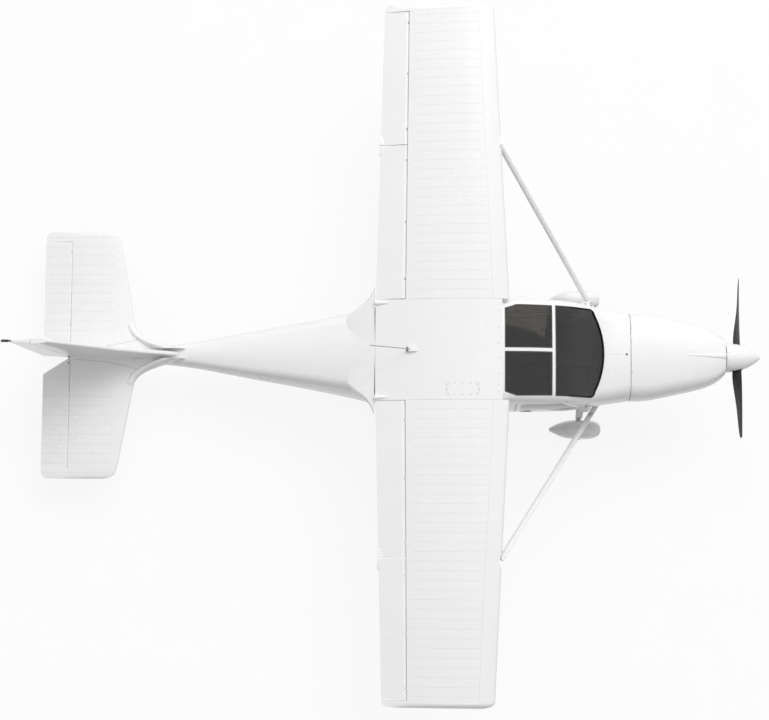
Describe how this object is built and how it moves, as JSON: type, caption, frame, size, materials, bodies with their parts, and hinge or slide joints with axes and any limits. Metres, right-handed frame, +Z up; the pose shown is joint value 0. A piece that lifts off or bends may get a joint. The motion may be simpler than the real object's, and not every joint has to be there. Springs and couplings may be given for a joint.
{
  "type": "microlight aircraft",
  "caption": "Two-seat high-wing microlight aircraft with a tinted cabin, single wing struts, nose propeller, faired main wheels and a small tailwheel.",
  "frame": {"origin": "on the ground below the middle of the length, where the aircraft stands on its three wheels", "axes": "+X forward along the length, +Y to the aircraft's left wing, +Z up"},
  "size_m": [8.1982, 7.5246, 1.9774],
  "materials": {
    "white_gelcoat": "gloss",
    "tinted_glazing": "gloss",
    "tyre_rubber": "matte",
    "wheel_metal": "satin",
    "blade_composite": "satin",
    "structure_metal": "satin",
    "engine_metal": "satin",
    "dark_plastic": "matte",
    "seat_fabric": "matte",
    "cabin_trim": "matte"
  },
  "bodies": {
    "airframe": {"cabin_floor": "structure_metal", "cabin_shell": "white_gelcoat", "control_sticks": "dark_plastic", "cowling_lower": "white_gelcoat", "cowling_upper": "white_gelcoat", "engine_block": "engine_metal", "engine_mount": "structure_metal", "exhaust_pipe": "structure_metal", "fin": "white_gelcoat", "firewall": "structure_metal", "gear_leg_left": "white_gelcoat", "gear_leg_right": "white_gelcoat", "horizontal_stabilizer": "white_gelcoat", "instrument_panel": "dark_plastic", "rear_bulkhead": "cabin_trim", "rear_fuselage": "white_gelcoat", "roof_windows": "tinted_glazing", "rudder_pedals": "dark_plastic", "seat_backrests": "seat_fabric", "seat_cushions": "seat_fabric", "seat_frame": "dark_plastic", "tailwheel_spring": "structure_metal", "wheel_fairing_left": "white_gelcoat", "wheel_fairing_right": "white_gelcoat", "whip_antenna": "dark_plastic", "windscreen": "tinted_glazing", "wing_center_section": "white_gelcoat", "wing_left": "white_gelcoat", "wing_right": "white_gelcoat", "wing_strut_left": "white_gelcoat", "wing_strut_right": "white_gelcoat", "wing_tips": "white_gelcoat"},
    "left_door": {"door_left": "white_gelcoat", "door_window_left": "tinted_glazing"},
    "right_door": {"door_right": "white_gelcoat", "door_window_right": "tinted_glazing"},
    "left_flap": {"flap_left": "white_gelcoat"},
    "right_flap": {"flap_right": "white_gelcoat"},
    "left_aileron": {"aileron_left": "white_gelcoat"},
    "right_aileron": {"aileron_right": "white_gelcoat"},
    "elevator": {"elevator_left": "white_gelcoat", "elevator_right": "white_gelcoat", "elevator_tube": "white_gelcoat"},
    "rudder": {"rudder": "white_gelcoat", "tail_light": "dark_plastic"},
    "left_wheel": {"main_tyre_left": "tyre_rubber", "main_rim_left": "wheel_metal"},
    "right_wheel": {"main_tyre_right": "tyre_rubber", "main_rim_right": "wheel_metal"},
    "tailwheel_fork": {"tailwheel_fork": "structure_metal"},
    "tailwheel": {"tailwheel": "tyre_rubber"},
    "propeller": {"spinner": "white_gelcoat", "propeller": "blade_composite"}
  },
  "joints": [
    {"name": "propeller_spin", "type": "hinge", "parent": "airframe", "child": "propeller", "pos_m": [3.71795, 0, 1.30654], "axis": [0.9889, 0, 0.1488], "continuous": true},
    {"name": "door_left_hinge", "type": "hinge", "parent": "airframe", "child": "left_door", "pos_m": [2.18225, 0.592, 1.07543], "axis": [0.1488, 0, -0.9889], "range_deg": [0, 50]},
    {"name": "door_right_hinge", "type": "hinge", "parent": "airframe", "child": "right_door", "pos_m": [2.18225, -0.592, 1.07543], "axis": [-0.1488, 0, 0.9889], "range_deg": [0, 50]},
    {"name": "flap_left_hinge", "type": "hinge", "parent": "airframe", "child": "left_flap", "pos_m": [0.08474, 1.38, 1.59822], "axis": [-0.0075, -0.9997, -0.0239], "range_deg": [0, 35]},
    {"name": "flap_right_hinge", "type": "hinge", "parent": "airframe", "child": "right_flap", "pos_m": [0.08474, -1.38, 1.59822], "axis": [0.0075, -0.9997, 0.0239], "range_deg": [0, 35]},
    {"name": "aileron_left_hinge", "type": "hinge", "parent": "airframe", "child": "left_aileron", "pos_m": [0.09697, 3, 1.63703], "axis": [-0.0075, -0.9997, -0.0239], "range_deg": [-20, 20]},
    {"name": "aileron_right_hinge", "type": "hinge", "parent": "airframe", "child": "right_aileron", "pos_m": [0.09697, -3, 1.63703], "axis": [0.0075, -0.9997, 0.0239], "range_deg": [-20, 20]},
    {"name": "elevator_hinge", "type": "hinge", "parent": "airframe", "child": "elevator", "pos_m": [-3.53131, 0, 0.50379], "axis": [0, -1, 0], "range_deg": [-25, 20]},
    {"name": "rudder_hinge", "type": "hinge", "parent": "airframe", "child": "rudder", "pos_m": [-3.63548, 0, 1.00891], "axis": [-0.2329, 0, 0.9725], "range_deg": [-25, 25]},
    {"name": "main_wheel_left_spin", "type": "hinge", "parent": "airframe", "child": "left_wheel", "pos_m": [2.31322, 0.757, 0.185], "axis": [0, 1, 0], "continuous": true},
    {"name": "main_wheel_right_spin", "type": "hinge", "parent": "airframe", "child": "right_wheel", "pos_m": [2.31322, -0.757, 0.185], "axis": [0, 1, 0], "continuous": true},
    {"name": "tailwheel_steer", "type": "hinge", "parent": "airframe", "child": "tailwheel_fork", "pos_m": [-3.34599, 0, 0.21313], "axis": [-0.1488, 0, 0.9889], "range_deg": [-30, 30]},
    {"name": "tailwheel_spin", "type": "hinge", "parent": "tailwheel_fork", "child": "tailwheel", "pos_m": [-3.3578, 0, 0.09], "axis": [0, 1, 0], "continuous": true}
  ],
  "couplings": [
    {"joint": "flap_right_hinge", "follows": "flap_left_hinge", "ratio": 1},
    {"joint": "aileron_right_hinge", "follows": "aileron_left_hinge", "ratio": -1}
  ]
}
